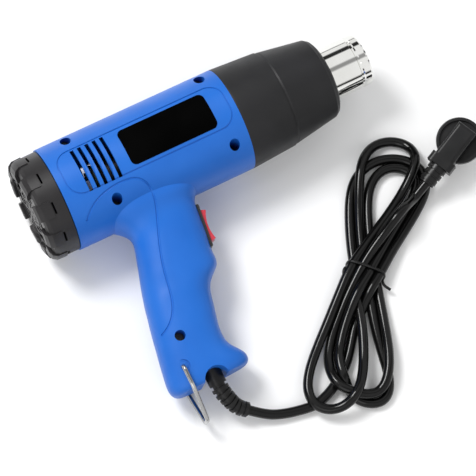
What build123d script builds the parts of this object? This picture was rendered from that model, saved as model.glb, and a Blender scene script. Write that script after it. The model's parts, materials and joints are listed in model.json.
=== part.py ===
from build123d import *
import os
from math import copysign, cos, pi, radians, sin, sqrt, tan

# Heat gun lying on its left-hand side on a table, with its cord tied in a hank.
#
# The gun is drawn in its own frame, in millimetres: X runs along the barrel towards the nozzle, with
# X = 0 at the joint between the blue housing and the black front collar.  The handle hangs towards -Y and
# Z points sideways, out of the near housing half.  Each gun piece is then rolled about the barrel until
# the base of the handle touches the table, and everything is moved so that the origin is under the
# middle of the gun, on the table.

# ---------------------------------------------------------------- driving dimensions: the gun
BARREL_R = 37.5          # outer radius of the blue barrel
BARREL_BACK = -133.5     # joint between barrel and rear cap
WALL = 2.5               # moulding wall
CAP_BACK = -155.0        # rear face of the cap's lugs
COLLAR_FRONT = 74.0      # front face of the collar
NOZZLE_R = 19.0          # outer radius of the hot tube where it shows
NOZZLE_INNER_R = 18.6    # outer radius of the hot tube inside the collar
NOZZLE_SHOWS = 75.4      # where the tube widens from one to the other, just past the collar
NOZZLE_TIP = 104.0
NOZZLE_BACK = -18.0
NOZZLE_WALL = 0.8
NOZZLE_FLANGE_R = 23.6
NOZZLE_GROOVE = 96.8     # middle of the groove rolled near the mouth
NOZZLE_GROOVE_DEPTH = 0.7
GAP = 0.2                # assembly clearance between fixed pieces
MOVING_GAP = 0.4         # clearance round a moving piece

HANDLE_POWER = 2.5       # 2 is an ellipse, larger is squarer
# handle sections: height y, rear edge x, front edge x, half thickness
HANDLE_SECTIONS = [
    (-24.0, -122.0, -34.0, 27.0),
    (-31.0, -116.0, -40.0, 25.0),
    (-37.0, -108.5, -45.5, 22.6),
    (-42.0, -103.0, -49.2, 21.0),
    (-47.0, -100.3, -50.2, 20.2),
    (-56.0, -101.6, -51.2, 19.6),
    (-68.0, -105.3, -52.6, 19.2),
    (-80.0, -109.3, -54.2, 19.0),
    (-88.0, -111.6, -55.6, 18.8),
    (-94.0, -113.2, -62.0, 18.7),
    (-100.0, -114.5, -66.6, 18.6),
    (-110.0, -116.8, -69.6, 18.6),
    (-122.0, -119.2, -72.6, 18.5),
    (-133.0, -121.4, -74.2, 18.3),
    (-141.0, -122.9, -72.6, 18.2),
    (-148.0, -124.0, -67.6, 18.1),
    (-153.0, -124.0, -65.6, 17.8),
    (-156.6, -122.4, -66.6, 16.8),
    (-158.4, -118.0, -71.0, 14.0),
]

# line engraved round the grip, on both sides
GRIP_LINE = [(-125.2, -27.1), (-115.2, -18.9), (-103.6, -15.2), (-90.4, -14.5), (-82.3, -16.8), (-77.4, -23.0),
             (-77.0, -32.0), (-80.6, -44.0), (-86.8, -60.0), (-92.6, -79.4), (-96.2, -96.7), (-99.6, -105.5),
             (-105.4, -112.6), (-113.3, -116.8)]
GRIP_LINE_R = 0.8
GRIP_LINE_STATIONS = 26

SCREW_SPOTS = [(-113.4, 30.0), (-11.4, 30.0), (-100.7, -22.6), (-11.7, -23.1), (-102.7, -122.8)]
SCREW_RECESS_R = 3.7
BOSS_R = 4.7
SCREW_SHELF = 6.0        # height of the screw head's seat above the parting plane
SCREW_HEAD_R = 3.2
SCREW_R = 1.5

VENT_COUNT = 5
VENT_FIRST_X = -114.4
VENT_PITCH = 5.5
VENT_WIDTH = 2.7
VENT_LOW = -11.5
VENT_HIGH = 20.0

GROOVE_DEPTH = 0.5
PANEL_BACK, PANEL_FRONT, PANEL_LOW, PANEL_HIGH = -128.5, -4.0, -11.5, 21.5
PANEL_CORNER = 11.0
PANEL_GROOVE = 0.9
LABEL_BACK, LABEL_FRONT, LABEL_LOW, LABEL_HIGH = -82.0, -17.0, -8.5, 18.5
LABEL_CORNER = 4.0
LABEL_THICK = 0.3

LUG_COUNT = 10
SHROUD_R = 31.6          # outer radius of the fan's duct
COLLAR_STEP = 34.2       # step part of the way along the collar
COLLAR_FRONT_R = 28.6

SWITCH_CENTRE = (-50.4, -60.65)
SWITCH_LEAN = 7.5        # degrees between the switch face and the handle's axis
SWITCH_LENGTH, SWITCH_WIDTH, SWITCH_FLANGE = 31.0, 14.0, 2.0
ROCKER_R = 11.3          # radius of the rocker's end faces about its pivot
ROCKER_PIVOT = -1.0      # pivot height from the frame's outer face
ROCKER_RISE = 3.7        # rocker ends above the frame
ROCKER_DIP = 1.6         # middle of the rocker's hollow face above the frame
ROCKER_WIDTH = 9.6

LOOP_PIVOT = (-110.3, -142.5)
LOOP_WIRE_R = 1.5
LOOP_LEG_Z = 20.1
LOOP_TIP_Y = -181.0

EXIT_SPOT = (-92.5, -160.0)
CORD_R = 3.5
CLAMP_Y = -134.0
CLAMP_X = -90.0
CLAMP_SCREWS = (-98.0, -82.0)
LEAD_R = 1.1
LIVE_LEAD = [(-88.7, -116.4, 1.2), (-88.4, -98.0, 1.2), (-92.5, -82.0, 0.6), (-92.5, -67.0, 0.0), (-83.8, -65.0, 0.0)]
NEUTRAL_LEAD = [(-91.3, -116.4, -1.2), (-93.0, -98.0, -1.6), (-96.0, -78.0, -4.0), (-94.5, -54.0, -4.0),
                (-96.5, -37.5, -4.4), (-107.5, -26.0, -5.6), (-112.0, -12.0, -8.0), (-111.5, -4.6, -8.8),
                (-105.2, -1.6, -9.0)]
HEATER_LEAD = [(-81.6, -47.9, 0.0), (-88.0, -47.0, 0.0), (-88.0, -38.6, 0.0), (-72.0, -37.2, 0.0),
               (-56.0, -37.2, 0.0), (-47.5, -33.4, 0.0), (-39.0, -33.0, 0.0), (-30.0, -22.0, 0.0),
               (-22.6, -8.0, 0.0), (-15.3, -2.0, 0.0)]
ROLL = 6.3               # degrees of roll about the barrel that brings the loop's far leg to the table

# ---------------------------------------------------------------- driving dimensions: cord and plug
# These lie on the table, in the table frame: the gun's X and rolled Y, and the height above the table.
RELIEF_PATH = [(-91.8, -158.0, 20.1), (-91.6, -165.8, 18.2), (-89.6, -172.0, 15.9), (-86.7, -178.8, 12.3),
               (-80.3, -183.9, 10.0)]
RELIEF_NECK_R = 6.2
RELIEF_CORE_R = 4.5
RELIEF_FLANGE_BACK = 13.0
RIB_COUNT = 7
RIB_FIRST = 0.2          # share of the sleeve's length before its first rib
RIB_THICK = 2.3
RIB_R = 6.1
LEAD_ROUTE = [(-80.3, -183.9, 10.0), (-70.4, -191.8, 6.4), (-58.0, -196.6, 4.4), (-45.0, -199.4, 3.8),
              (-36.5, -200.4, 3.8)]
TIE_SPOT = (39.5, -132.0)
HANK_ANGLE = 51.7        # degrees between the hank's long axis and X
HANK_THICK = 15.0
WAIST_WIDTH = 26.0       # width of the strands inside the tie
# outline of the hank: along its axis from the tie, and sideways
HANK_OUTLINE = [(0.0, -14.0), (28.0, -20.0), (62.0, -23.0), (86.0, -20.0), (100.0, -4.0), (97.0, 14.0),
                (84.0, 24.0), (62.0, 25.0), (32.0, 22.0), (0.0, 14.0), (-32.0, 25.0), (-64.0, 31.0),
                (-88.0, 28.0), (-101.0, 12.0), (-105.0, -8.0), (-97.0, -25.0), (-72.0, -32.0), (-36.0, -24.0)]
TIE_WIDTH = 3.0
TIE_THICK = 1.2
PLUG_SPOT = (142.5, -80.4)
PLUG_HEADING = 24.0      # degrees between the plug's cable axis and X
PLUG_TILT = 16.0         # degrees: the plug stands on its pins and leans towards its cable
PLUG_R = 16.5            # round guard
PLUG_AXIS = 8.5          # cable axis above the pin face
PLUG_TAIL = -38.5        # end of the cable sleeve
PLUG_COLLAR = -20.5      # middle of the flared collar in front of the sleeve
PLUG_COLLAR_SIZE = (7.0, 19.4, 15.6)
PLUG_RIDGE_BACK = -20.2
PLUG_RIDGE_FRONT = 10.2
PLUG_RIDGE_WIDTH = 15.4
PLUG_RIDGE_HEIGHT = 14.6
PLUG_SLEEVE_R = 5.6
PLUG_RING_R = 6.9
PLUG_RING_THICK = 3.3
PLUG_RING_PITCH = 4.6
PLUG_RING_FIRST = 5.4    # from the collar to the first ring
PLUG_ROUTE = [(93.4, -102.2, 12.6), (100.2, -99.0, 14.7)]
PIN_LENGTH = 19.0
PIN_R = 2.4
PIN_ROOT_R = 2.1         # pin inside the plug
PIN_ROOT = 3.0           # and how far it reaches in
PIN_SPACING = 19.0

# places that other pieces or joints are set out from, in the gun frame
MARKED_POINTS = {
    "barrel axis": (0.0, 0.0, 0.0),
    "nozzle middle": (83.0, 0.0, 0.0),
    "nozzle mouth": (NOZZLE_TIP, 0.0, 0.0),
    "rocker pivot": (SWITCH_CENTRE[0] - 0.99, SWITCH_CENTRE[1] + 0.13, 0.0),
    "loop pivot": (LOOP_PIVOT[0], LOOP_PIVOT[1], 0.0),
    "cap lug face": (CAP_BACK, -29.0 * sin(radians(18)), 29.0 * cos(radians(18))),
}


# ---------------------------------------------------------------- small helpers
def tube_x(radius, start, end, y=0.0, z=0.0):
    """Round bar along X."""
    return Solid.make_cylinder(radius, end - start, Plane((start, y, z), z_dir=(1, 0, 0)))


def bar_z(radius, spot, low, high):
    """Round bar along Z at an (x, y) spot."""
    return Solid.make_cylinder(radius, high - low, Plane((spot[0], spot[1], low)))


def block(low, high):
    """Box between two corners."""
    size = [high[i] - low[i] for i in range(3)]
    middle = [(high[i] + low[i]) / 2 for i in range(3)]
    return Pos(*middle) * Box(*size)


def spun(profile):
    """Solid of revolution about X of a closed outline of (x, radius) points."""
    outline = Polyline(*[(x, r, 0) for x, r in profile], close=True)
    return revolve(make_face(outline), axis=Axis.X)


def along(path, radius):
    """Round bar along a path."""
    start = Plane(origin=path @ 0, z_dir=path % 0)
    return sweep(start * Circle(radius), path=path)


def bent_path(points, radii=None):
    """Straight runs joined by tangent arcs, each arc as large as its two runs allow."""
    points = [Vector(*p) for p in points]
    if radii is None:
        radii = []
        for before, corner, after in zip(points, points[1:], points[2:]):
            turn = radians((corner - before).get_angle(after - corner))
            shorter = min((corner - before).length, (after - corner).length)
            radii.append(0.45 * shorter / tan(turn / 2))
    return FilletPolyline(*points, radius=radii), radii


# ---------------------------------------------------------------- housing
def handle_section(section, inset):
    """Closed superellipse across the handle at one height."""
    y, back, front, half = section
    middle = (back + front) / 2
    reach = (front - back) / 2 - inset
    half = half - inset
    points = []
    for i in range(24):
        angle = 2 * pi * i / 24
        across = copysign(abs(cos(angle)) ** (2 / HANDLE_POWER), cos(angle))
        outward = copysign(abs(sin(angle)) ** (2 / HANDLE_POWER), sin(angle))
        points.append(Vector(middle + reach * across, y, half * outward))
    return Wire([Edge.make_spline(points, periodic=True)])


def body_solid(inset=0.0):
    """Barrel and handle as one solid, shrunk by an inset."""
    sections = [list(section) for section in HANDLE_SECTIONS]
    lift = inset / 3
    for step, section in enumerate(sections[-3:], start=1):
        section[0] += lift * step
    handle = Solid.make_loft([handle_section(section, inset) for section in sections])
    barrel = tube_x(BARREL_R - inset, BARREL_BACK, 0.0)
    return Part() + barrel + handle


def groove_band(outline_face, width):
    """Upright band along the outline of a face drawn in the XY plane."""
    inner = offset(outline_face, -width, kind=Kind.ARC)
    return extrude(outline_face - inner, amount=2 * BARREL_R, both=True)


def panel_face(low_x, high_x, low_y, high_y, corner):
    """Rounded rectangle in the XY plane."""
    middle = ((low_x + high_x) / 2, (low_y + high_y) / 2)
    return Pos(*middle) * RectangleRounded(high_x - low_x, high_y - low_y, corner)


def grooves():
    """Engraved line round the side panel of the barrel."""
    panel = panel_face(PANEL_BACK, PANEL_FRONT, PANEL_LOW, PANEL_HIGH, PANEL_CORNER)
    skin = tube_x(BARREL_R + 1, BARREL_BACK, 0.0) - tube_x(BARREL_R - GROOVE_DEPTH, BARREL_BACK, 0.0)
    return skin & groove_band(panel, PANEL_GROOVE)


def surface_height(x, y):
    """Height of the outer skin above the parting plane."""
    barrel = sqrt(BARREL_R ** 2 - y ** 2) if abs(y) < BARREL_R else 0.0
    handle = 0.0
    for upper, lower in zip(HANDLE_SECTIONS, HANDLE_SECTIONS[1:]):
        if lower[0] <= y <= upper[0]:
            share = (upper[0] - y) / (upper[0] - lower[0])
            back, front, half = [upper[i] + (lower[i] - upper[i]) * share for i in (1, 2, 3)]
            aside = abs(x - (back + front) / 2) / ((front - back) / 2)
            if aside < 1:
                handle = half * (1 - aside ** HANDLE_POWER) ** (1 / HANDLE_POWER)
    return max(barrel, handle)


def grip_groove(side):
    """Round cutter that follows the skin along the line round the grip."""
    flat = Spline(*[(x, y, 0) for x, y in GRIP_LINE])
    stations = []
    for i in range(GRIP_LINE_STATIONS):
        spot = flat @ (i / (GRIP_LINE_STATIONS - 1))
        stations.append(Vector(spot.X, spot.Y, side * surface_height(spot.X, spot.Y)))
    return along(Spline(*stations), GRIP_LINE_R)


def vents():
    """Air slots through the sides of the barrel."""
    slots = Part()
    for i in range(VENT_COUNT):
        x = VENT_FIRST_X + i * VENT_PITCH
        low = (x - VENT_WIDTH / 2, VENT_LOW, 24.0)
        high = (x + VENT_WIDTH / 2, VENT_HIGH, BARREL_R + 3)
        slots += block(low, high)
    return slots + mirror(slots, about=Plane.XY)


def switch_plane():
    """Plane on the face of the switch frame: its X runs down the handle and its Z outwards."""
    lean = radians(SWITCH_LEAN)
    down = (-sin(lean), -cos(lean), 0)
    outward = (cos(lean), -sin(lean), 0)
    return Plane(origin=(SWITCH_CENTRE[0], SWITCH_CENTRE[1], 0), x_dir=down, z_dir=outward)


def inner_posts():
    """Everything moulded inside the shell: screw posts, pads, loop bosses and duct ribs."""
    posts = Part() + bar_z(11.5, EXIT_SPOT, -BARREL_R, BARREL_R)
    for low, high in [(11.0, BARREL_R), (-BARREL_R, -11.0)]:
        posts += bar_z(4.6, LOOP_PIVOT, low, high)
    for spot in SCREW_SPOTS:
        posts += bar_z(BOSS_R, spot, -BARREL_R, BARREL_R)
    for middle in (-64.0, -47.6):
        posts += tube_x(BARREL_R, middle - 1, middle + 1) - tube_x(SHROUD_R + GAP, middle - 2, middle + 2)
    lead_way = block((-68.0, -BARREL_R, -2.2), (-44.0, -30.0, 2.2))
    return posts - lead_way


def loop_socket(side):
    """Bore and ring recess that one end of the hanging loop turns in."""
    bore = bar_z(LOOP_WIRE_R + 0.06, LOOP_PIVOT, 9.0, 30.0)
    ring = bar_z(4.9, LOOP_PIVOT, 16.7, 30.0) - bar_z(3.1, LOOP_PIVOT, 16.0, 17.5)
    socket = bore + ring
    return socket if side > 0 else mirror(socket, about=Plane.XY)


def housing_half(side):
    """One moulded half, up to the parting plane: side 1 is the near half, -1 the far half."""
    half_space = block((-200, -250, 0), (50, 100, 60))
    if side < 0:
        half_space = mirror(half_space, about=Plane.XY)
    outer = body_solid() & half_space
    inner = body_solid(WALL) & half_space
    shell = outer - (inner - inner_posts())
    shell -= grooves()
    shell -= vents()
    shell -= bar_z(9.0, EXIT_SPOT, -BARREL_R, BARREL_R)
    shell -= relief_hole()
    pocket = switch_plane() * Pos(0, 0, -8) * Box(27.2, 12.6, 16)
    seat = switch_plane() * Pos(0, 0, 4 - SWITCH_FLANGE) * Box(SWITCH_LENGTH + GAP, SWITCH_WIDTH + GAP, 8)
    shell -= pocket + seat
    return shell - loop_socket(side)


def housing_halves():
    """Near half with its screw recesses and far half with its screw bores."""
    near = housing_half(1) - grip_groove(1)
    far = housing_half(-1) - grip_groove(-1)
    for spot in SCREW_SPOTS:
        near -= bar_z(SCREW_RECESS_R, spot, SCREW_SHELF, BARREL_R + 1)
        near -= bar_z(SCREW_R + 0.2, spot, -1.0, SCREW_SHELF + 1)
        far -= bar_z(SCREW_R + 0.02, spot, -12.0, 1.0)
    return near, far


def housing_screws():
    """Five pan-head screws."""
    screws = []
    for spot in SCREW_SPOTS:
        head = bar_z(SCREW_HEAD_R, spot, SCREW_SHELF + 0.02, SCREW_SHELF + 2.4)
        shank = bar_z(SCREW_R, spot, -11.0, SCREW_SHELF + 0.5)
        slot = Pos(spot[0], spot[1], SCREW_SHELF + 2.4)
        cross = Box(3.6, 0.8, 2.0) + Box(0.8, 3.6, 2.0)
        screws.append(head + shank - slot * cross)
    return screws


def side_label():
    """Plain label that follows the barrel's side."""
    face = panel_face(LABEL_BACK, LABEL_FRONT, LABEL_LOW, LABEL_HIGH, LABEL_CORNER)
    prism = extrude(face, amount=BARREL_R + 2)
    sheet = tube_x(BARREL_R + LABEL_THICK, BARREL_BACK, 0.0) - tube_x(BARREL_R, BARREL_BACK, 0.0)
    return prism & sheet


# ---------------------------------------------------------------- rear cap and intake
def rear_cap():
    """Cap with ten lugs round its rim and an intake grille in its face."""
    joint = BARREL_BACK - 0.6
    body = spun([(joint, 0), (joint, 36.6), (-149.0, 36.4), (-151.4, 35.2), (-152.6, 32.6), (-152.6, 0)])
    rim = spun([(-154.4, 26.6), (-155.0, 27.2), (-155.0, 31.6), (-153.6, 35.0), (-150.6, 37.0),
                (-143.6, 37.2), (-143.6, 26.6)])
    for i in range(LUG_COUNT):
        turn = Rot(18 + i * 360 / LUG_COUNT, 0, 0)
        body += rim & (turn * block((-156, -5.8, 25), (-143, 5.8, 38)))
    hollow = spun([(joint + 2, 0), (joint + 2, 34.0), (-148.0, 33.6), (-149.6, 31.0), (-149.6, 0)])
    body -= hollow
    spigot = tube_x(BARREL_R - WALL - GAP, joint - 1, BARREL_BACK + 5) - tube_x(33.0, joint - 2, BARREL_BACK + 6)
    body += spigot
    for i in range(LUG_COUNT):
        turn = Rot(18 + i * 360 / LUG_COUNT, 0, 0)
        body -= turn * block((-142.9, -4.2, 32), (-141.5, 4.2, 38))
    return body - grille_openings()


def grille_openings():
    """Ring-shaped air openings crossed by spokes."""
    openings = Part()
    for inner, outer in [(5.0, 9.0), (11.0, 15.5), (17.5, 22.5)]:
        ring = tube_x(outer, -153, -149) - tube_x(inner, -153, -149)
        openings += ring
    for i in range(5):
        openings -= Rot(18 + i * 36, 0, 0) * block((-154, -30, -1.1), (-148, 30, 1.1))
    return openings


def intake_filter():
    """Perforated dust filter behind the grille."""
    disc = tube_x(32.0, -147.6, -146.6)
    holes = Part()
    pitch = 6.0
    for row in range(-4, 5):
        for column in range(-4, 5):
            y = pitch * (column + 0.5 * (row % 2))
            z = pitch * row * sqrt(3) / 2
            if sqrt(y * y + z * z) < 28.5:
                holes += tube_x(1.9, -148, -146, y, z)
    return disc - holes


# ---------------------------------------------------------------- motor and fan
def fan_motor():
    """Direct-current motor with its front and rear bearing bosses."""
    can = spun([(-102.0, 0), (-102.0, 5.0), (-100.0, 5.0), (-100.0, 12.8), (-98.6, 13.8), (-67.6, 13.8),
                (-66.0, 12.6), (-66.0, 4.6), (-63.6, 4.6), (-63.6, 0)])
    for z in (-8.0, 8.0):
        can -= tube_x(1.3, -72.0, -65.0, 0, z)
    return can - tube_x(1.24, -72.0, -63.0)


def motor_shaft():
    """Steel shaft from the motor into the fan."""
    return tube_x(1.2, -71.6, -46.6)


def motor_mount():
    """Spider that holds the motor in the duct."""
    rim = tube_x(SHROUD_R, -66.0, -62.2) - tube_x(SHROUD_R - 1.6, -67.0, -62.0)
    plate = tube_x(13.6, -65.98, -63.8)
    for angle in (45, 135, 225, 315):
        plate += Rot(angle, 0, 0) * block((-65.98, -2.0, 12.5), (-63.8, 2.0, SHROUD_R - 1.0))
    plate -= tube_x(4.8, -67, -62)
    for z in (-8.0, 8.0):
        plate -= tube_x(1.4, -67.0, -62.0, 0, z)
    return rim + plate


def motor_screws():
    """Two screws through the mount into the motor's front."""
    screws = []
    for z in (-8.0, 8.0):
        screws.append(tube_x(1.25, -71.0, -62.8, 0, z) + tube_x(2.3, -63.78, -62.4, 0, z))
    return screws


def fan_impeller():
    """Hub with eight pitched blades."""
    hub = spun([(-59.6, 1.2), (-59.6, 7.0), (-49.4, 7.0), (-46.4, 4.6), (-46.4, 1.2)])
    for i in range(8):
        blade = Pos(-54.2, 0, 17.8) * Rot(0, 0, 38) * Box(11.5, 1.3, 24.0)
        hub += Rot(i * 45, 0, 0) * blade
    swept = tube_x(SHROUD_R - 2.6, -62, -44)
    return (hub & swept) - tube_x(1.2, -61, -45)


def air_duct():
    """Shroud that narrows from the fan to the hot tube."""
    duct = spun([(-62.0, SHROUD_R), (-45.0, SHROUD_R), (-22.4, 17.6), (-22.4, 24.0), (-18.2, 24.0),
                 (-18.2, 15.0), (-24.0, 15.0), (-45.6, SHROUD_R - 1.6), (-62.0, SHROUD_R - 1.6)])
    for i in range(3):
        duct -= Rot(i * 120, 0, 0) * tube_x(1.32, -23.0, -18.0, 21.0, 0)
    lead_path, _ = bent_path(HEATER_LEAD)
    return duct - along(lead_path, LEAD_R + 0.4)


def duct_screws():
    """Three screws that hold the hot tube's flange to the duct."""
    screws = []
    for i in range(3):
        screw = tube_x(1.28, -22.6, -16.6, 21.0, 0) + tube_x(2.0, -16.88, -15.4, 21.0, 0)
        screws.append(Rot(i * 120, 0, 0) * screw)
    return screws


def rectifier_board():
    """Round board on the back of the motor."""
    return tube_x(12.5, -104.8, -103.2) - tube_x(5.4, -105, -103)


def rectifier_diodes():
    """Four diodes standing on the board."""
    diodes = []
    for i in range(4):
        diodes.append(Rot(45 + i * 90, 0, 0) * tube_x(1.5, -110.0, -104.82, 9.0, 0))
    return diodes


# ---------------------------------------------------------------- heater
def nozzle_tube():
    """Thin hot tube with a mounting flange and a rolled groove near its mouth."""
    flange = NOZZLE_BACK + 1.0
    bore = NOZZLE_R - NOZZLE_WALL
    outside = [(NOZZLE_BACK, NOZZLE_FLANGE_R), (flange, NOZZLE_FLANGE_R), (flange, NOZZLE_INNER_R),
               (NOZZLE_SHOWS - 0.4, NOZZLE_INNER_R), (NOZZLE_SHOWS, NOZZLE_R), (NOZZLE_GROOVE - 1.4, NOZZLE_R),
               (NOZZLE_GROOVE - 0.6, NOZZLE_R - NOZZLE_GROOVE_DEPTH),
               (NOZZLE_GROOVE + 0.6, NOZZLE_R - NOZZLE_GROOVE_DEPTH), (NOZZLE_GROOVE + 1.4, NOZZLE_R),
               (NOZZLE_TIP - 1.2, NOZZLE_R), (NOZZLE_TIP, bore)]
    inside = [(NOZZLE_TIP, bore - 0.5), (NOZZLE_TIP - 1.0, bore - 0.2), (NOZZLE_GROOVE + 1.8, bore),
              (NOZZLE_GROOVE + 0.8, bore - NOZZLE_GROOVE_DEPTH), (NOZZLE_GROOVE - 0.8, bore - NOZZLE_GROOVE_DEPTH),
              (NOZZLE_GROOVE - 1.8, bore), (NOZZLE_BACK + 2.0, bore), (NOZZLE_BACK + 2.0, bore - 0.2),
              (NOZZLE_BACK, bore - 0.2)]
    tube = spun(outside + inside)
    for i in range(3):
        tube -= Rot(i * 120, 0, 0) * tube_x(1.4, -19.0, -16.0, 21.0, 0)
    return tube


def heater_liner():
    """Mica sleeve between the hot tube and the coil."""
    return tube_x(17.9, -12.0, 88.0) - tube_x(17.4, -13.0, 89.0)


def heater_base():
    """Ceramic disc that carries the former, with holes for air and leads."""
    disc = tube_x(17.2, -10.0, -5.0)
    for i in range(6):
        disc -= Rot(30 + i * 60, 0, 0) * tube_x(3.0, -11, -4, 9.6, 0)
    return disc - tube_x(1.6, -11, -4)


def heater_former():
    """Two mica plates slotted into a cross."""
    upright = block((-4.9, -10.4, -0.5), (84.0, 10.4, 0.5))
    return upright + Rot(90, 0, 0) * upright


def heater_coil():
    """Coiled resistance wire wound round the former."""
    turns = Helix(pitch=9.6, height=76.8, radius=12.6, center=(1.0, 0, 0), direction=(1, 0, 0))
    return along(turns, 1.35)


def thermal_cutout():
    """Bimetal switch behind the heater base."""
    return block((-14.6, -4.5, -3.0), (-10.2, 4.5, 3.0))


# ---------------------------------------------------------------- front collar
def front_collar():
    """Heat guard round the hot tube, with a step part of the way along."""
    front, inside = COLLAR_FRONT, COLLAR_FRONT - 2.6
    outer = spun([(0.0, 0), (0.0, 37.4), (1.0, BARREL_R), (COLLAR_STEP, 35.4), (COLLAR_STEP + 0.2, 34.2),
                  (COLLAR_STEP + 1.2, 34.2), (COLLAR_STEP + 2.4, 34.7), (front - 4.6, COLLAR_FRONT_R + 0.9),
                  (front - 1.8, COLLAR_FRONT_R - 1.0), (front - 0.4, COLLAR_FRONT_R - 3.4),
                  (front, COLLAR_FRONT_R - 6.4), (front, 0)])
    hollow = spun([(-1.0, 0), (-1.0, 34.0), (COLLAR_STEP, 32.0), (inside - 2.4, 26.4), (inside, 22.0), (inside, 0)])
    spigot = tube_x(BARREL_R - WALL - GAP, -5.0, 1.0) - tube_x(33.4, -6.0, 2.0)
    for spot in [SCREW_SPOTS[1], SCREW_SPOTS[3]]:
        spigot -= bar_z(BOSS_R + 0.5, spot, -40.0, 40.0)
    return outer - hollow + spigot - tube_x(NOZZLE_R + GAP, inside - 1, front + 1)


# ---------------------------------------------------------------- switch
def switch_body():
    """Switch frame, its body in the handle and the space that the rocker turns in."""
    flange = Pos(0, 0, -SWITCH_FLANGE / 2) * Box(SWITCH_LENGTH, SWITCH_WIDTH, SWITCH_FLANGE)
    flange = chamfer(flange.edges().group_by(Axis.Z)[-1], 0.7)
    body = Pos(0, 0, -12.5) * Box(26.8, 12.2, 21.0)
    window = Pos(0, 0, -3.0) * Box(2 * (ROCKER_R + MOVING_GAP), ROCKER_WIDTH + 2 * MOVING_GAP, 14.0)
    return switch_plane() * (flange + body - window)


def switch_rocker():
    """Red rocker with a hollow face, on a stub shaft through its pivot."""
    end_x = sqrt(ROCKER_R ** 2 - (ROCKER_RISE - ROCKER_PIVOT) ** 2)
    foot = -3.6
    foot_x = sqrt(ROCKER_R ** 2 - (foot - ROCKER_PIVOT) ** 2)
    top = ThreePointArc((-end_x, ROCKER_RISE), (0, ROCKER_DIP), (end_x, ROCKER_RISE))
    right = ThreePointArc((end_x, ROCKER_RISE), (ROCKER_R, ROCKER_PIVOT), (foot_x, foot))
    base = Line((foot_x, foot), (-foot_x, foot))
    left = ThreePointArc((-foot_x, foot), (-ROCKER_R, ROCKER_PIVOT), (-end_x, ROCKER_RISE))
    side = Plane.XZ * make_face(top + right + base + left)
    rocker = extrude(side, amount=ROCKER_WIDTH / 2, both=True)
    return switch_plane() * rocker


def switch_terminals():
    """Three spade terminals at the back of the switch."""
    tabs = []
    for x in (-8.5, 0.0, 8.5):
        tabs.append(switch_plane() * Pos(x, 0, -27.0) * Box(0.8, 6.3, 7.96))
    return tabs


# ---------------------------------------------------------------- hanging loop
def hanging_loop():
    """Bent wire with its two ends turned into the handle."""
    x, y = LOOP_PIVOT
    tip_z = 6.3
    side = [(x, y, 12.0), (x, y, LOOP_LEG_Z), (x, -157.0, LOOP_LEG_Z - 1.14), (x, LOOP_TIP_Y, tip_z)]
    other = [(px, py, -pz) for px, py, pz in reversed(side)]
    path, _ = bent_path(side + other, [2.6, 12.0, 2.4, 2.4, 12.0, 2.6])
    return along(path, LOOP_WIRE_R)


# ---------------------------------------------------------------- cord inside the handle
def to_gun(point):
    """Gun-frame place of a point given in the table frame."""
    roll = radians(ROLL)
    x, y, height = point
    z = height - BARREL_R
    return Vector(x, y * cos(roll) + z * sin(roll), -y * sin(roll) + z * cos(roll))


def relief_heading():
    """Direction in which the strain relief leaves the handle, in the gun frame."""
    return (to_gun(RELIEF_PATH[1]) - to_gun(RELIEF_PATH[0])).normalized()


def relief_hole():
    """Hole through the housing for the strain relief."""
    start = to_gun(RELIEF_PATH[0]) - relief_heading() * 14
    return Solid.make_cylinder(RELIEF_NECK_R + GAP, 30.0, Plane(start, z_dir=relief_heading()))


def strain_relief():
    """Ribbed rubber sleeve with a flange that the housing traps."""
    path, _ = bent_path([to_gun(point) for point in RELIEF_PATH])
    sleeve = Part() + along(path, RELIEF_CORE_R)
    root = to_gun(RELIEF_PATH[0])
    heading = relief_heading()
    neck_start = root - heading * RELIEF_FLANGE_BACK
    sleeve += Solid.make_cylinder(RELIEF_NECK_R, RELIEF_FLANGE_BACK + 3.0, Plane(neck_start, z_dir=heading))
    sleeve += Solid.make_cylinder(RELIEF_NECK_R + 2.2, 2.0, Plane(neck_start, z_dir=heading))
    for i in range(RIB_COUNT):
        at = RIB_FIRST + i * (0.94 - RIB_FIRST) / (RIB_COUNT - 1)
        middle = path @ at
        rib = Plane(middle - (path % at) * RIB_THICK / 2, z_dir=path % at)
        sleeve += Solid.make_cylinder(RIB_R - 0.12 * i, RIB_THICK, rib)
    return sleeve


def cord_tail_path():
    """Centre line of the cord from the strain relief up to its cut end."""
    start = to_gun(RELIEF_PATH[0]) - relief_heading() * RELIEF_FLANGE_BACK
    above = start - relief_heading() * 8
    path, _ = bent_path([start, above, (CLAMP_X, -126.0, 0.0), (CLAMP_X, -116.5, 0.0)])
    return path


def cord_clamp():
    """Bar that presses the cord against the far housing half."""
    bar = block((CLAMP_SCREWS[0] - 3.5, CLAMP_Y - 3, 0.05), (CLAMP_SCREWS[1] + 3.5, CLAMP_Y + 3, 6.4))
    bar -= along(cord_tail_path(), CORD_R + 0.06)
    for x in CLAMP_SCREWS:
        bar -= bar_z(1.6, (x, CLAMP_Y), -1.0, 8.0)
    return bar


def clamp_screws():
    """Two screws through the clamp."""
    screws = []
    for x in CLAMP_SCREWS:
        spot = (x, CLAMP_Y)
        screws.append(bar_z(1.4, spot, -9.0, 7.0) + bar_z(2.6, spot, 6.42, 8.2))
    return screws


def inner_lead(points):
    """Insulated wire inside the housing."""
    path, _ = bent_path(points)
    return along(path, LEAD_R)


# ---------------------------------------------------------------- cord on the table
def cord_lead():
    """Cord from the strain relief to the hank."""
    path, radii = bent_path(LEAD_ROUTE)
    report_tube("cord_lead", path, radii)
    return along(path, CORD_R)


def report_tube(name, path, radii):
    """Print a cord tube's length and bend radii."""
    print(name, "length", round(path.length, 1), "radii", [round(radius, 1) for radius in radii])


def hank_plane():
    """Plane on the table with X along the hank and Y to its right-hand side."""
    turn = radians(HANK_ANGLE)
    return Plane(origin=(TIE_SPOT[0], TIE_SPOT[1], 0), x_dir=(cos(turn), sin(turn), 0), z_dir=(0, 0, 1))


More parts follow.
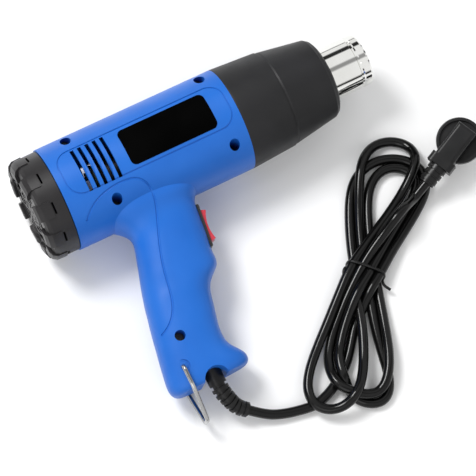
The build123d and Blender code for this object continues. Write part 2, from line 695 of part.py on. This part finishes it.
def cord_hank():
    """Outer shape of the tied hank, with a notch for the tie."""
    points = [(s, -w) for s, w in HANK_OUTLINE]
    outline = Spline(*points, points[0], periodic=False)
    body = extrude(make_face(outline), amount=HANK_THICK)
    notch = Box(TIE_WIDTH, 60.0, 60.0) - Pos(0, 0, HANK_THICK / 2) * tie_core()
    return hank_plane() * (body - notch)


def tie_core():
    """Bundle that the tie is pulled round."""
    core = Box(TIE_WIDTH + 1, WAIST_WIDTH, HANK_THICK - 2 * TIE_THICK)
    return fillet(core.edges().filter_by(Axis.X), 4.0)


def cord_tie():
    """Flat wire tie round the waist of the hank, with two twisted ends."""
    outside = Box(TIE_WIDTH - 0.1, WAIST_WIDTH + 2 * TIE_THICK, HANK_THICK)
    outside = fillet(outside.edges().filter_by(Axis.X), 5.0)
    band = Pos(0, 0, HANK_THICK / 2) * (outside - tie_core())
    ends, _ = bent_path([(0, -14.1, 9.0), (-2.0, -16.9, 10.2), (-5.0, -19.9, 10.8)])
    return hank_plane() * (band + along(ends, 1.0))


def plug_plane():
    """Plane on the plug's pin face: X away from the cable and Z out of the plug's back."""
    heading = radians(PLUG_HEADING)
    tilt = radians(PLUG_TILT)
    height = PIN_LENGTH * cos(tilt) + PIN_R * sin(tilt) + 0.05
    ahead = (cos(heading) * cos(tilt), sin(heading) * cos(tilt), sin(tilt))
    back = (-cos(heading) * sin(tilt), -sin(heading) * sin(tilt), cos(tilt))
    return Plane(origin=(PLUG_SPOT[0], PLUG_SPOT[1], height), x_dir=ahead, z_dir=back)


def plug_body():
    """Moulded side-entry plug: round guard, grip ridge, collar and ringed cable sleeve."""
    guard = Pos(0, 0, 3.0) * Cylinder(PLUG_R, 6.0)
    guard = fillet(guard.edges(), 0.8)
    guard -= Pos(0, 0, 5.2) * Cylinder(PLUG_R - 2.2, 3.0)
    guard += Cylinder(6.0, 3.6, align=(Align.CENTER, Align.CENTER, Align.MIN))
    ridge_length = PLUG_RIDGE_FRONT - PLUG_RIDGE_BACK
    ridge = Box(ridge_length, PLUG_RIDGE_WIDTH, PLUG_RIDGE_HEIGHT, align=(Align.MIN, Align.CENTER, Align.MIN))
    ridge = Pos(PLUG_RIDGE_BACK, 0, 0) * fillet(ridge.edges().group_by(Axis.Z)[-1], 2.6)
    collar = fillet(Box(*PLUG_COLLAR_SIZE).edges().filter_by(Axis.X), 3.4)
    plug = guard + ridge + Pos(PLUG_COLLAR, 0, PLUG_AXIS) * collar
    for i in range(3):
        ring = Rot(0, 90, 0) * Cylinder(PLUG_RING_R - 0.3 * i, PLUG_RING_THICK)
        plug += Pos(PLUG_COLLAR - PLUG_RING_FIRST - PLUG_RING_PITCH * i, 0, PLUG_AXIS) * ring
    sleeve = Rot(0, 90, 0) * Cylinder(PLUG_SLEEVE_R, PLUG_COLLAR - PLUG_TAIL)
    plug += Pos((PLUG_COLLAR + PLUG_TAIL) / 2, 0, PLUG_AXIS) * sleeve
    for y in (-PIN_SPACING / 2, PIN_SPACING / 2):
        plug -= Pos(0, y, 0) * Cylinder(PIN_ROOT_R, 2 * PIN_ROOT)
    return plug_plane() * plug


def plug_pins():
    """Two round contact pins with domed tips."""
    pins = []
    for y in (-PIN_SPACING / 2, PIN_SPACING / 2):
        pin = Pos(0, y, -PIN_LENGTH / 2) * Cylinder(PIN_R, PIN_LENGTH)
        pin = fillet(pin.edges().group_by(Axis.Z)[0], 1.2)
        pin += Pos(0, y, PIN_ROOT / 2) * Cylinder(PIN_ROOT_R, PIN_ROOT)
        pins.append(plug_plane() * pin)
    return pins


def cord_plug_lead():
    """Cord from the hank to the plug's sleeve."""
    tail = plug_plane().from_local_coords(Vector(PLUG_TAIL, 0, PLUG_AXIS))
    path, radii = bent_path([Vector(*point) for point in PLUG_ROUTE] + [tail])
    report_tube("cord_plug_lead", path, radii)
    return along(path, CORD_R)


# ---------------------------------------------------------------- assembly
def gun_nodes():
    """Every piece of the gun, by node name, in the gun frame."""
    near, far = housing_halves()
    return {
        "housing_left": near,
        "housing_right": far,
        "housing_screws": housing_screws(),
        "side_label": side_label(),
        "rear_cap": rear_cap(),
        "intake_filter": intake_filter(),
        "fan_motor": fan_motor(),
        "motor_shaft": motor_shaft(),
        "motor_mount": motor_mount(),
        "motor_screws": motor_screws(),
        "fan_impeller": fan_impeller(),
        "air_duct": air_duct(),
        "duct_screws": duct_screws(),
        "rectifier_board": rectifier_board(),
        "rectifier_diodes": rectifier_diodes(),
        "nozzle_tube": nozzle_tube(),
        "heater_liner": heater_liner(),
        "heater_base": heater_base(),
        "heater_former": heater_former(),
        "heater_coil": heater_coil(),
        "thermal_cutout": thermal_cutout(),
        "front_collar": front_collar(),
        "switch_body": switch_body(),
        "switch_rocker": switch_rocker(),
        "switch_terminals": switch_terminals(),
        "hanging_loop": hanging_loop(),
        "strain_relief": strain_relief(),
        "cord_tail": along(cord_tail_path(), CORD_R),
        "cord_clamp": cord_clamp(),
        "clamp_screws": clamp_screws(),
        "lead_live": inner_lead(LIVE_LEAD),
        "lead_neutral": inner_lead(NEUTRAL_LEAD),
        "lead_heater": inner_lead(HEATER_LEAD),
    }


def table_nodes():
    """Every piece of the cord, by node name, in the table frame."""
    return {
        "cord_lead": cord_lead(),
        "cord_hank": cord_hank(),
        "cord_tie": cord_tie(),
        "cord_plug_lead": cord_plug_lead(),
        "plug_body": plug_body(),
        "plug_pins": plug_pins(),
    }


def pieces(shape):
    """The solids of a node, which may be given as one shape or a list of shapes."""
    shapes = shape if isinstance(shape, list) else [shape]
    return [solid for single in shapes for solid in single.solids()]


def main():
    os.makedirs("parts", exist_ok=True)
    rolled = Pos(0, 0, BARREL_R) * Rot(ROLL, 0, 0)
    gun = {name: [rolled * solid for solid in pieces(shape)] for name, shape in gun_nodes().items()}
    box = Compound(children=[solid for solids in gun.values() for solid in solids]).bounding_box()
    shift = Pos(-(box.min.X + box.max.X) / 2, -(box.min.Y + box.max.Y) / 2, 0)
    print("origin shift", shift.position, "gun box", box.min, box.max)
    nodes = {**gun, **{name: pieces(shape) for name, shape in table_nodes().items()}}
    for name, solids in nodes.items():
        moved = Compound(children=[shift * solid for solid in solids])
        export_step(moved if len(solids) > 1 else moved.solids()[0], os.path.join("parts", name + ".step"))
    place = shift * rolled
    for label, point in MARKED_POINTS.items():
        print(label, (place * Pos(*point)).position)


main()
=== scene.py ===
import json
import math

import bpy
from mathutils import Matrix, Vector


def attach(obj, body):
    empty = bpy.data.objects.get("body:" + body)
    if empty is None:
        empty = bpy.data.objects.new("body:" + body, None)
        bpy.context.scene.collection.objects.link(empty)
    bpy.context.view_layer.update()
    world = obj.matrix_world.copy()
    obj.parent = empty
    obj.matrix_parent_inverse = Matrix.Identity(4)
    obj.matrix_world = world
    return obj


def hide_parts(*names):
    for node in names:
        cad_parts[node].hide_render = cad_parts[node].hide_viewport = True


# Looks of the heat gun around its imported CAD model.  Everything is in metres, in the model's own frame:
# the origin is on the table under the middle of the gun, X runs towards the nozzle, the handle points
# towards -Y and Z is up.

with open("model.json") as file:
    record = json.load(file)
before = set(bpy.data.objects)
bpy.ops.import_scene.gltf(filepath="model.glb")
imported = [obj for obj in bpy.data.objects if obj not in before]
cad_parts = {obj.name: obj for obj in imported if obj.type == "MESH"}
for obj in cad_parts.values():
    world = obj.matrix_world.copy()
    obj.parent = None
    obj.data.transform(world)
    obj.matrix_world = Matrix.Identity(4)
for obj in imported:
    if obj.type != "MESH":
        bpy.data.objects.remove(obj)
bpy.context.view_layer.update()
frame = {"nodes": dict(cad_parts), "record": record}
MM = 0.001

# ---------------------------------------------------------------- camera
CAMERA_TARGET = Vector((-0.0079, -0.0018, 0.0290))
CAMERA_DIRECTION = Vector((-0.1988, -0.2570, 0.9458))
CAMERA_UP = Vector((0.4563, 0.8844, 0.0976))
CAMERA_DISTANCE = 1.5
CAMERA_LENS = 165.2

# ---------------------------------------------------------------- cord
TABLE_SHIFT = Vector((25.5, 75.131, 0.0)) * MM
CORD_R = 3.5 * MM
CORD_THICK = 2 * CORD_R
# the cord from the strain relief to the hank, as the CAD model lays it
LEAD_ROUTE = [(-80.3, -183.9, 10.0), (-70.4, -191.8, 6.4), (-58.0, -196.6, 4.4), (-45.0, -199.4, 3.8),
              (-36.5, -200.4, 3.8)]
TIE_SPOT = Vector((39.5, -132.0, 0.0)) * MM + TABLE_SHIFT
HANK_ANGLE = math.radians(51.7)
# the cord on its way to the tie, along the hank and sideways from its axis
SUPPLY_ROUTE = [(-98.0, -14.5), (-89.0, -8.5), (-79.0, -3.6), (-67.0, -1.2), (-54.0, -0.6), (-41.0, -0.8),
                (-28.0, 0.4), (-14.0, 4.0)]
# loops in the order in which the cord runs through them: the end of the hank they lie at, reach from the
# tie, leftmost and rightmost line, and level: a loop is dropped on those of lower level
LOOPS = [
    ("top", 88.0, -15.0, 29.0, 0),
    ("bottom", 104.0, -22.5, 12.5, 3),
    ("top", 101.0, -15.5, 25.0, 2),
    ("bottom", 92.0, -7.0, 30.0, 1),
    ("top", 83.0, -9.0, 24.0, 1),
    ("bottom", 89.0, -12.5, 26.0, 2),
]
SUPPLY_LEVEL = 0
PLUG_LEVEL = 3
LOOP_POINTS = 15
LOOP_ROUNDNESS = 0.1
LOOP_WIDEST = 1.02       # widest swing of a loop's lines at that roundness
LOOP_LEAN = 0.65         # share of a loop's lean where its lines are widest
# places of the strands in the tie: those that run from lower left to upper right lie on top
RISING_SLOTS = [9.9, -9.9, 3.3, -3.3]
FALLING_SLOTS = [-6.6, 0.0, 6.6]
RISING_HEIGHT = 10.4
STRAND_HEIGHT = 3.6
TIE_ZONE = 14.0          # the tie holds the strands in two layers as far as this from it
FREE_ZONE = 44.0         # and they are free of it beyond this
# how the cord settles: samples per station, rounds, and shares of a fault put right in each round
SAMPLES = 3
ROUNDS = 160
STILL_ROUNDS = 20
PAIRS_LAST = 40          # rounds before the touching pairs are looked for again
NEAR = 13.0
DROP = 0.10
PULL = 0.06
EASE = 0.35
PLUG_WAY = [(14.0, 1.2), (28.0, 8.4), (43.0, 16.4)]
PLUG_ROUTE = [(93.4, -102.2, 12.6), (100.2, -99.0, 14.7)]
PLUG_TAIL = (106.9, -96.3, 16.5)
# the wire tie: a ring round the hank, squarer than an ellipse, with two loose ends
TIE_WIRE = 1.0
TIE_HALF_WIDTH = 13.6
TIE_HALF_HEIGHT = 6.9
TIE_MIDDLE = 8.0
TIE_SQUARENESS = 0.62
TIE_POINTS = 20
TIE_RISE = 1.5           # how far up the hank its top lies
TIE_SLANT = 2.0          # and how far down the hank its right side lies
TIE_ENDS = [
    [(-0.6, -13.2, 9.0), (-1.6, -14.6, 10.6), (-4.6, -15.2, 11.6), (-7.4, -14.4, 10.2), (-8.6, -13.6, 8.0)],
    [(-3.0, 13.0, 6.0), (-5.6, 13.2, 6.4), (-7.6, 14.8, 6.6), (-8.8, 17.2, 6.4), (-9.6, 19.6, 6.0)],
]


# ---------------------------------------------------------------- studio
WALL_STRENGTH = 0.95
# brightness of the walls by the angle from overhead, in degrees, negative on the handle's side
WALLS = [(-90, 0.05), (-84, 0.05), (-78, 1.0), (-20, 1.0), (-13, 0.35), (-2, 0.35), (4, 1.0), (42, 1.0),
         (47, 0.03), (62, 0.03), (67, 1.0), (85, 1.0), (90, 0.1)]


def make_camera():
    """Long-lens camera above the table, at the photograph's angle."""
    data = bpy.data.cameras.new("camera")
    data.lens = CAMERA_LENS
    data.sensor_width = 36.0
    camera = bpy.data.objects.new("camera", data)
    back = CAMERA_DIRECTION.normalized()
    right = CAMERA_UP.cross(back).normalized()
    up = back.cross(right)
    turn = Matrix((right, up, back)).transposed().to_4x4()
    camera.matrix_world = Matrix.Translation(CAMERA_TARGET + back * CAMERA_DISTANCE) @ turn
    bpy.context.scene.collection.objects.link(camera)
    bpy.context.scene.camera = camera


def on_table(point):
    """A point of the CAD model's table frame, in millimetres, in the model's frame."""
    return Vector(point) * MM + TABLE_SHIFT


def on_hank(along, aside, height):
    """A point given along the hank from its tie, sideways and above the table, in millimetres."""
    ahead = Vector((math.cos(HANK_ANGLE), math.sin(HANK_ANGLE), 0.0))
    right = Vector((math.sin(HANK_ANGLE), -math.cos(HANK_ANGLE), 0.0))
    return TIE_SPOT + (ahead * along + right * aside + Vector((0.0, 0.0, height))) * MM


def loop_points(end, reach, left, right, slot_in, slot_out):
    """One loop of the hank, from the tie round its end and back to the tie."""
    half = (right - left) / 2 / LOOP_WIDEST
    lean = (right + left) / 2 / LOOP_LEAN
    sign = 1 if end == "top" else -1
    points = []
    for i in range(1, LOOP_POINTS):
        t = i / LOOP_POINTS
        swing = math.sin(2 * math.pi * t) - LOOP_ROUNDNESS * math.sin(4 * math.pi * t)
        aside = lean * math.sin(math.pi * t) ** 2 + half * swing
        aside += slot_in * (1 - t) ** 3 + slot_out * t ** 3
        points.append((sign * reach * math.sin(math.pi * t), aside))
    return points


def hank_stations():
    """Stations of the cord from the supply side, through the hank, to the plug side.

    Each is (along, aside, level, rising): rising strands run up the hank and lie on top in the tie."""
    stations = [(along, aside, SUPPLY_LEVEL, True) for along, aside in SUPPLY_ROUTE]
    rising, falling = list(RISING_SLOTS), list(FALLING_SLOTS)
    slot = rising.pop(0)
    stations.append((0.0, slot, SUPPLY_LEVEL, True))
    for end, reach, left, right, level in LOOPS:
        coming = falling if end == "top" else rising
        slot_out = coming.pop(0)
        points = loop_points(end, reach, left, right, slot, slot_out)
        for i, (along, aside) in enumerate(points):
            first_half = i < len(points) / 2
            stations.append((along, aside, level, first_half == (end == "top")))
        slot = slot_out
        stations.append((0.0, slot, level, end == "bottom"))
    return stations + [(along, aside, PLUG_LEVEL, True) for along, aside in PLUG_WAY]


def dropped_from(along, level, rising):
    """Height that a station starts to settle from."""
    held = RISING_HEIGHT if rising else STRAND_HEIGHT
    free = STRAND_HEIGHT + level * CORD_THICK / MM
    share = (abs(along) - TIE_ZONE) / (FREE_ZONE - TIE_ZONE)
    share = min(1.0, max(0.0, share))
    return held + (free - held) * share * share * (3 - 2 * share)


def near_pairs(places):
    """Pairs of samples that may touch, neighbours along the cord left out."""
    pairs = []
    for i, first in enumerate(places):
        for j in range(i + 2 * SAMPLES, len(places)):
            second = places[j]
            if abs(first[0] - second[0]) < NEAR and abs(first[1] - second[1]) < NEAR:
                pairs.append((i, j))
    return pairs


def push_apart(places, pairs, thick):
    """Move touching samples apart, each by half of what is missing."""
    for i, j in pairs:
        first, second = places[i], places[j]
        gap = [second[k] - first[k] for k in range(3)]
        distance = math.sqrt(gap[0] * gap[0] + gap[1] * gap[1] + gap[2] * gap[2])
        if distance < thick:
            share = 0.5 * (thick - distance) / max(distance, 0.01)
            for k in range(3):
                first[k] -= gap[k] * share
                second[k] += gap[k] * share


def settled(stations):
    """Places of the stations, in millimetres along, aside and up, once the cord has settled on the table."""
    wanted = []
    for first, second in zip(stations, stations[1:] + stations[-1:]):
        for step in range(SAMPLES):
            t = step / SAMPLES
            along, aside = [first[k] + (second[k] - first[k]) * t for k in range(2)]
            wanted.append((along, aside, dropped_from(along, first[2], first[3])))
    places = [list(place) for place in wanted]
    last = len(places) - SAMPLES
    for number in range(ROUNDS + STILL_ROUNDS):
        if number % PAIRS_LAST == 0:
            pairs = near_pairs(places)
        moving = number < ROUNDS
        before = [list(place) for place in places]
        for i in range(1, last):
            here, ahead, behind = before[i], before[i + 1], before[i - 1]
            for k in range(2):
                shift = here[k] - wanted[i][k]
                eased = (ahead[k] - wanted[i + 1][k] + behind[k] - wanted[i - 1][k]) / 2
                places[i][k] += EASE * (eased - shift) - PULL * shift
            places[i][2] += EASE * ((ahead[2] + behind[2]) / 2 - here[2]) - DROP * moving
            if abs(wanted[i][0]) < TIE_ZONE:
                places[i][2] += PULL * (wanted[i][2] - here[2])
        push_apart(places, pairs, CORD_THICK / MM)
        for place in places:
            place[2] = max(place[2], STRAND_HEIGHT)
    return places[::SAMPLES]


def cord_line():
    """Control points of the whole cord, from the strain relief to the plug."""
    points = [on_table(point) for point in LEAD_ROUTE]
    points += [on_hank(*place) for place in settled(hank_stations())]
    points += [on_table(point) for point in PLUG_ROUTE]
    points.append(on_table(PLUG_TAIL))
    return points


def make_cord():
    """The supply cord as one smooth spline."""
    points = cord_line()
    curve = bpy.data.curves.new("supply_cord", "CURVE")
    curve.dimensions = "3D"
    curve.bevel_depth = 1.0
    curve.bevel_resolution = 6
    curve.resolution_u = 6
    spline = curve.splines.new("NURBS")
    spline.points.add(len(points) - 1)
    for target, point in zip(spline.points, points):
        target.co = (point.x, point.y, point.z, 1.0)
        target.radius = CORD_R
    spline.order_u = 3
    spline.use_endpoint_u = True
    cord = bpy.data.objects.new("supply_cord", curve)
    bpy.context.scene.collection.objects.link(cord)
    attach(cord, "housing")
    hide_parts("cord_lead", "cord_hank", "cord_plug_lead")
    return cord


# ---------------------------------------------------------------- materials
# noise features per metre, of a plastic's tint, its gloss and a metal's tint
TINT_SCALE = 28.0
GLOSS_SCALE = 90.0
METAL_TINT_SCALE = 40.0
GLOSS_SPREAD = 0.05      # how far a plastic's roughness varies either way
# nearly all values of a noise texture lie between these
NOISE_LOW = 0.3
NOISE_HIGH = 0.7


def shader_parts(name):
    """A new material's node tree and its principled shader."""
    material = bpy.data.materials.new(name)
    material.use_nodes = True
    return material, material.node_tree, material.node_tree.nodes["Principled BSDF"]


def object_point(tree, stretch=(1.0, 1.0, 1.0)):
    """Coordinates that stay with the piece."""
    coordinates = tree.nodes.new("ShaderNodeTexCoord")
    mapping = tree.nodes.new("ShaderNodeMapping")
    mapping.inputs["Scale"].default_value = stretch
    tree.links.new(coordinates.outputs["Object"], mapping.inputs["Vector"])
    return mapping.outputs["Vector"]


def noise(tree, scale, detail=3.0, stretch=(1.0, 1.0, 1.0)):
    """Noise value, from 0 to 1, with features about 1/scale metres across."""
    texture = tree.nodes.new("ShaderNodeTexNoise")
    texture.inputs["Scale"].default_value = scale
    texture.inputs["Detail"].default_value = detail
    tree.links.new(object_point(tree, stretch), texture.inputs["Vector"])
    return texture.outputs["Fac"]


def spread_to(tree, value, low, high):
    """A noise value moved to another range."""
    node = tree.nodes.new("ShaderNodeMapRange")
    node.inputs["From Min"].default_value = NOISE_LOW
    node.inputs["From Max"].default_value = NOISE_HIGH
    node.inputs["To Min"].default_value = low
    node.inputs["To Max"].default_value = high
    tree.links.new(value, node.inputs["Value"])
    return node.outputs["Result"]


def blended(tree, value, first, second):
    """Colour between two colours, by a noise value."""
    node = tree.nodes.new("ShaderNodeValToRGB")
    node.color_ramp.elements[0].position = NOISE_LOW
    node.color_ramp.elements[0].color = (*first, 1.0)
    node.color_ramp.elements[1].position = NOISE_HIGH
    node.color_ramp.elements[1].color = (*second, 1.0)
    tree.links.new(value, node.inputs["Fac"])
    return node.outputs["Color"]


def roughened(tree, shader, layers):
    """Bump from several noise layers, each (value, height in metres)."""
    normal = None
    for value, height in layers:
        bump = tree.nodes.new("ShaderNodeBump")
        bump.inputs["Strength"].default_value = 1.0
        bump.inputs["Distance"].default_value = height
        tree.links.new(value, bump.inputs["Height"])
        if normal is not None:
            tree.links.new(normal, bump.inputs["Normal"])
        normal = bump.outputs["Normal"]
    tree.links.new(normal, shader.inputs["Normal"])


def moulded(name, first, second, rough, grain, depth, shine=0.5):
    """Moulded plastic: slightly uneven colour and gloss, and a fine grain of given size and depth."""
    material, tree, shader = shader_parts(name)
    shader.inputs["Specular IOR Level"].default_value = shine
    broad = noise(tree, TINT_SCALE, 2.0)
    tree.links.new(blended(tree, broad, first, second), shader.inputs["Base Color"])
    gloss = spread_to(tree, noise(tree, GLOSS_SCALE), rough - GLOSS_SPREAD, rough + GLOSS_SPREAD)
    tree.links.new(gloss, shader.inputs["Roughness"])
    roughened(tree, shader, [(noise(tree, 1.0 / grain, 2.0), depth)])
    return material


def metal(name, first, second, rough, scratch, depth, stretch):
    """Metal with fine marks stretched along one direction."""
    material, tree, shader = shader_parts(name)
    shader.inputs["Metallic"].default_value = 1.0
    lines = noise(tree, 1.0 / scratch, 3.0, stretch)
    tree.links.new(blended(tree, noise(tree, METAL_TINT_SCALE), first, second), shader.inputs["Base Color"])
    tree.links.new(spread_to(tree, lines, rough * 0.7, rough * 1.4), shader.inputs["Roughness"])
    roughened(tree, shader, [(lines, depth)])
    return material


def make_materials():
    """Every finish, by the name of its slot."""
    grain = 0.35 * MM
    fine = 0.012 * MM
    plastics = {
        "blue_plastic": ((0.007, 0.112, 0.480), (0.011, 0.130, 0.530), 0.40, 0.45 * MM, 0.035 * MM, 0.3),
        "dark_label": ((0.001, 0.001, 0.001), (0.002, 0.002, 0.002), 0.55, grain, fine, 0.0),
        "black_plastic": ((0.009, 0.008, 0.009), (0.016, 0.015, 0.016), 0.40, 0.5 * MM, 0.030 * MM, 0.35),
        "collar_plastic": ((0.009, 0.009, 0.010), (0.014, 0.014, 0.016), 0.50, 0.5 * MM, 0.040 * MM, 0.3),
        "inner_plastic": ((0.035, 0.035, 0.036), (0.050, 0.050, 0.050), 0.55, grain, fine),
        "fan_plastic": ((0.010, 0.010, 0.011), (0.016, 0.016, 0.017), 0.50, grain, fine),
        "circuit_board": ((0.010, 0.024, 0.014), (0.014, 0.032, 0.018), 0.55, 0.8 * MM, 0.03 * MM),
        "black_epoxy": ((0.010, 0.010, 0.010), (0.018, 0.018, 0.018), 0.42, grain, fine),
        "mica": ((0.46, 0.38, 0.26), (0.60, 0.52, 0.38), 0.35, 1.5 * MM, 0.05 * MM),
        "ceramic": ((0.72, 0.69, 0.61), (0.80, 0.77, 0.70), 0.80, 0.4 * MM, 0.04 * MM),
        "switch_plastic": ((0.010, 0.010, 0.011), (0.014, 0.014, 0.015), 0.34, grain, fine),
        "red_plastic": ((0.500, 0.030, 0.050), (0.560, 0.042, 0.064), 0.30, grain, 0.006 * MM, 0.4),
        "black_rubber": ((0.003, 0.003, 0.003), (0.007, 0.007, 0.008), 0.36, 0.5 * MM, 0.030 * MM, 0.3),
        "cord_sheath": ((0.002, 0.002, 0.002), (0.004, 0.004, 0.004), 0.13, 1.2 * MM, 0.012 * MM, 0.25),
        "tie_plastic": ((0.003, 0.003, 0.003), (0.006, 0.006, 0.006), 0.26, grain, fine, 0.3),
        "brown_wire": ((0.120, 0.040, 0.018), (0.150, 0.052, 0.024), 0.35, grain, fine),
        "blue_wire": ((0.020, 0.090, 0.420), (0.028, 0.110, 0.480), 0.35, grain, fine),
        "red_wire": ((0.480, 0.020, 0.016), (0.540, 0.028, 0.020), 0.35, grain, fine),
    }
    metals = {
        "dark_steel": ((0.040, 0.040, 0.042), (0.070, 0.070, 0.072), 0.38, 0.6 * MM, 0.01 * MM, (1, 1, 1)),
        "zinc_steel": ((0.55, 0.56, 0.58), (0.64, 0.64, 0.65), 0.34, 0.8 * MM, 0.01 * MM, (1, 1, 1)),
        "motor_can": ((0.030, 0.030, 0.033), (0.050, 0.050, 0.054), 0.40, 0.7 * MM, 0.01 * MM, (6, 1, 1)),
        "nozzle_steel": ((0.78, 0.78, 0.75), (0.86, 0.86, 0.84), 0.06, 0.5 * MM, 0.003 * MM, (5, 1, 1)),
        "resistance_wire": ((0.16, 0.14, 0.13), (0.24, 0.22, 0.20), 0.50, 0.4 * MM, 0.01 * MM, (1, 1, 1)),
        "brass_plate": ((0.60, 0.46, 0.22), (0.68, 0.54, 0.28), 0.34, 0.7 * MM, 0.01 * MM, (1, 1, 1)),
        "wire_steel": ((0.32, 0.32, 0.32), (0.44, 0.44, 0.44), 0.17, 1.6 * MM, 0.05 * MM, (1, 0.35, 1)),
        "nickel_pins": ((0.56, 0.54, 0.50), (0.64, 0.62, 0.58), 0.18, 0.5 * MM, 0.006 * MM, (1, 1, 0.2)),
        "filter_steel": ((0.10, 0.10, 0.10), (0.14, 0.14, 0.14), 0.50, 0.5 * MM, 0.01 * MM, (1, 1, 1)),
    }
    made = {name: moulded(name, *facts) for name, facts in plastics.items()}
    made.update({name: metal(name, *facts) for name, facts in metals.items()})
    return made


def finish_nodes(materials):
    """Give every CAD node the finish of its record slot."""
    for part in frame["record"]["subparts"]:
        node = frame["nodes"][part["node"]]
        node.data.materials.clear()
        node.data.materials.append(materials[part["material_slot"]])


# ---------------------------------------------------------------- small pieces
def tube_curve(name, lines, radius, closed=False):
    """Round wire along one or more smooth lines."""
    curve = bpy.data.curves.new(name, "CURVE")
    curve.dimensions = "3D"
    curve.bevel_depth = 1.0
    curve.bevel_resolution = 4
    curve.resolution_u = 8
    curve.use_fill_caps = True
    for number, line in enumerate(lines):
        spline = curve.splines.new("NURBS")
        spline.points.add(len(line) - 1)
        for target, point in zip(spline.points, line):
            target.co = (*point, 1.0)
            target.radius = radius
        spline.order_u = 3
        spline.use_cyclic_u = closed and number == 0
        spline.use_endpoint_u = not spline.use_cyclic_u
    piece = bpy.data.objects.new(name, curve)
    bpy.context.scene.collection.objects.link(piece)
    return piece


def squared(value):
    """A sine or cosine drawn out towards the corners of a square."""
    return math.copysign(abs(value) ** TIE_SQUARENESS, value)


def make_tie():
    """Coated wire tie round the waist of the hank."""
    around = []
    for i in range(TIE_POINTS):
        turn = 2 * math.pi * i / TIE_POINTS
        across = squared(math.cos(turn))
        upward = squared(math.sin(turn))
        along = TIE_RISE * upward - TIE_SLANT * across
        around.append(on_hank(along, TIE_HALF_WIDTH * across, TIE_MIDDLE + TIE_HALF_HEIGHT * upward))
    lines = [around] + [[on_hank(*point) for point in end] for end in TIE_ENDS]
    tie = tube_curve("wire_tie", lines, TIE_WIRE * MM, closed=True)
    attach(tie, "housing")
    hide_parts("cord_tie")
    return tie


# ---------------------------------------------------------------- floor and light
def make_floor():
    """Plain pale table top."""
    size = 3.0
    corners = [(-size, -size, 0), (size, -size, 0), (size, size, 0), (-size, size, 0)]
    mesh = bpy.data.meshes.new("floor")
    mesh.from_pydata(corners, [], [(0, 1, 2, 3)])
    floor = bpy.data.objects.new("floor", mesh)
    bpy.context.scene.collection.objects.link(floor)
    material, tree, shader = shader_parts("floor")
    tree.links.new(blended(tree, noise(tree, 6.0), (0.86, 0.865, 0.87), (0.89, 0.89, 0.89)),
                   shader.inputs["Base Color"])
    shader.inputs["Roughness"].default_value = 0.7
    mesh.materials.append(material)


def area_light(name, place, target, size, power):
    """Soft square light that faces a point."""
    data = bpy.data.lights.new(name, "AREA")
    data.shape = "SQUARE"
    data.size = size
    data.energy = power
    lamp = bpy.data.objects.new(name, data)
    away = (Vector(place) - Vector(target)).normalized()
    lamp.matrix_world = Matrix.Translation(place) @ away.to_track_quat("Z", "Y").to_matrix().to_4x4()
    bpy.context.scene.collection.objects.link(lamp)


def studio_walls(tree):
    """Brightness of the studio round the table: white walls with dark gaps, all along the barrel's axis."""
    direction = tree.nodes.new("ShaderNodeTexCoord")
    split = tree.nodes.new("ShaderNodeSeparateXYZ")
    angle = tree.nodes.new("ShaderNodeMath")
    angle.operation = "ARCTAN2"
    share = tree.nodes.new("ShaderNodeMapRange")
    share.inputs["From Min"].default_value = -math.pi / 2
    share.inputs["From Max"].default_value = math.pi / 2
    ramp = tree.nodes.new("ShaderNodeValToRGB")
    tree.links.new(direction.outputs["Generated"], split.inputs["Vector"])
    tree.links.new(split.outputs["Y"], angle.inputs[0])
    tree.links.new(split.outputs["Z"], angle.inputs[1])
    tree.links.new(angle.outputs["Value"], share.inputs["Value"])
    tree.links.new(share.outputs["Result"], ramp.inputs["Fac"])
    stops = ramp.color_ramp.elements
    stops.remove(stops[0])
    stops[0].position = 0.0
    for number, (degrees, bright) in enumerate(WALLS):
        stop = stops[0] if number == 0 else stops.new((degrees + 90) / 180)
        stop.color = (bright, bright, bright, 1.0)
    return ramp.outputs["Color"]


def make_light():
    """Studio walls, a large key light from the upper left and a weak fill."""
    world = bpy.data.worlds.new("studio")
    world.use_nodes = True
    background = world.node_tree.nodes["Background"]
    world.node_tree.links.new(studio_walls(world.node_tree), background.inputs["Color"])
    background.inputs["Strength"].default_value = WALL_STRENGTH
    bpy.context.scene.world = world
    bpy.context.scene.view_settings.view_transform = "Standard"
    area_light("key", (-0.45, 0.75, 1.25), (0.0, 0.0, 0.0), 0.5, 16.0)
    area_light("fill", (-0.9, -0.6, 0.9), (0.0, 0.0, 0.0), 0.9, 3.0)


# ---------------------------------------------------------------- build
make_camera()
cord = make_cord()
materials = make_materials()
tie = make_tie()
finish_nodes(materials)
cord.data.materials.append(materials["cord_sheath"])
tie.data.materials.append(materials["tie_plastic"])
make_floor()
make_light()
bpy.context.view_layer.update()
